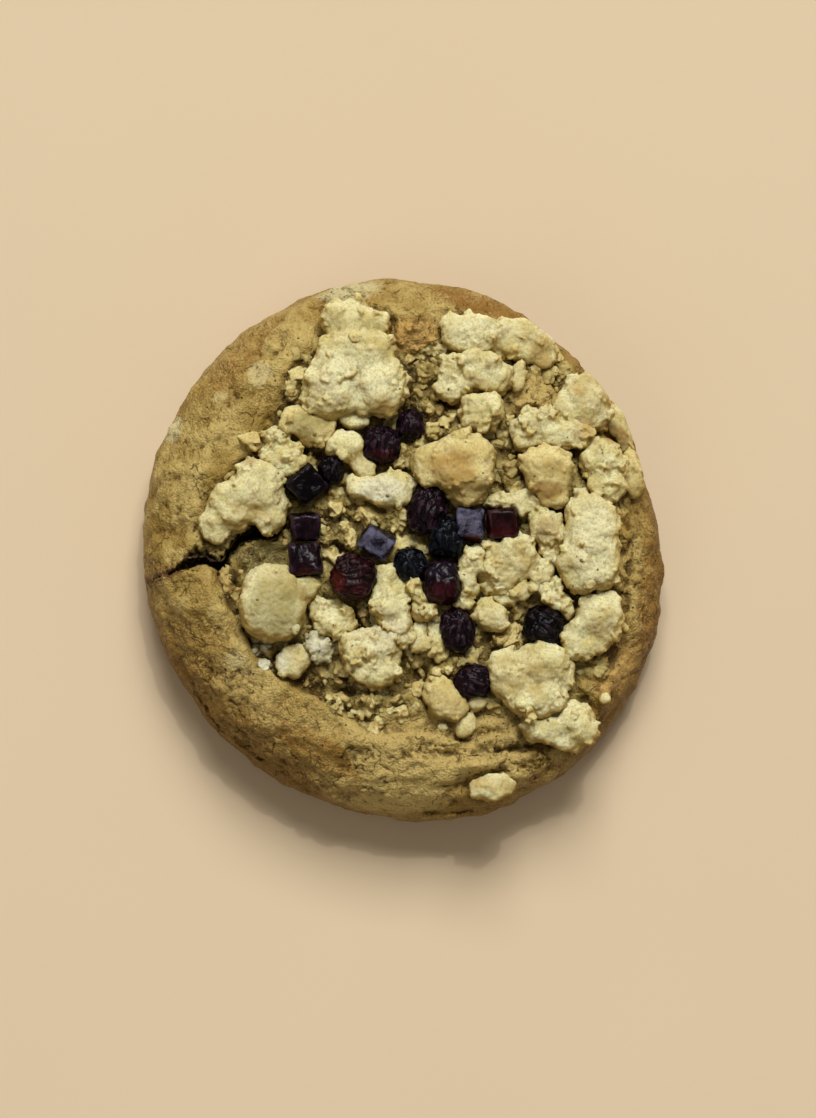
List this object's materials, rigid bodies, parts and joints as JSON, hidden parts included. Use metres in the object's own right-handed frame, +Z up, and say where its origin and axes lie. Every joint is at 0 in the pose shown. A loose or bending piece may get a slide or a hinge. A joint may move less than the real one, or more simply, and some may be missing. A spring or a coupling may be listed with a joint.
{
  "type": "blueberry muffin cookie",
  "caption": "Thick round baked cookie with a rolled rim, a cracked edge, streusel clumps and dried berry pieces on top.",
  "frame": {"origin": "middle of the flat underside", "axes": "+Z up through the cookie's thickness, +Y towards the far rim, where the pale bloom is, +X towards the crumb-covered right rim"},
  "size_m": [0.105, 0.1094, 0.0297],
  "materials": {
    "baked_dough": "dry matt baked dough, golden brown at the rim, with pores and fine cracks",
    "streusel": "dry matt pale yellow crumb, browned in places",
    "diced_berry": "sticky dark red-purple dried fruit with a faint blue-grey dust",
    "wrinkled_berry": "wrinkled near-black dried fruit with small soft highlights"
  },
  "bodies": {
    "root": {"cookie": "baked_dough", "diced_berry_01": "diced_berry", "diced_berry_02": "diced_berry", "diced_berry_03": "diced_berry", "diced_berry_04": "diced_berry", "diced_berry_05": "diced_berry", "diced_berry_06": "diced_berry", "diced_berry_07": "diced_berry", "streusel_apricot": "streusel", "streusel_core_clump": "streusel", "streusel_core_nib": "streusel", "streusel_core_spur": "streusel", "streusel_core_wedge": "streusel", "streusel_edge_right": "streusel", "streusel_edge_right_far": "streusel", "streusel_far_chip": "streusel", "streusel_far_clump": "streusel", "streusel_far_left_slab": "streusel", "streusel_far_nugget": "streusel", "streusel_far_slab": "streusel", "streusel_left_clump": "streusel", "streusel_left_tan_lump": "streusel", "streusel_left_tuft": "streusel", "streusel_mid_left_clump": "streusel", "streusel_mid_ridge": "streusel", "streusel_near_clump": "streusel", "streusel_near_edge_chip": "streusel", "streusel_near_left_clump": "streusel", "streusel_near_left_smooth": "streusel", "streusel_near_left_tuft": "streusel", "streusel_near_right_clump": "streusel", "streusel_near_right_slab": "streusel", "streusel_near_smooth": "streusel", "streusel_right_bar": "streusel", "streusel_right_clump": "streusel", "streusel_right_egg": "streusel", "streusel_right_far_lump": "streusel", "streusel_right_mass": "streusel", "streusel_right_near_clump": "streusel", "streusel_right_pair": "streusel", "streusel_right_pink_clump": "streusel", "streusel_right_ring": "streusel", "streusel_right_slab": "streusel", "streusel_right_smooth": "streusel", "streusel_right_stick": "streusel", "streusel_right_tuft": "streusel", "streusel_round_disc": "streusel", "wrinkled_berry_01": "wrinkled_berry", "wrinkled_berry_02": "wrinkled_berry", "wrinkled_berry_03": "wrinkled_berry", "wrinkled_berry_04": "wrinkled_berry", "wrinkled_berry_05": "wrinkled_berry", "wrinkled_berry_06": "wrinkled_berry", "wrinkled_berry_07": "wrinkled_berry", "wrinkled_berry_08": "wrinkled_berry", "wrinkled_berry_09": "wrinkled_berry", "wrinkled_berry_10": "wrinkled_berry", "wrinkled_berry_11": "wrinkled_berry"}
  },
  "joints": []
}
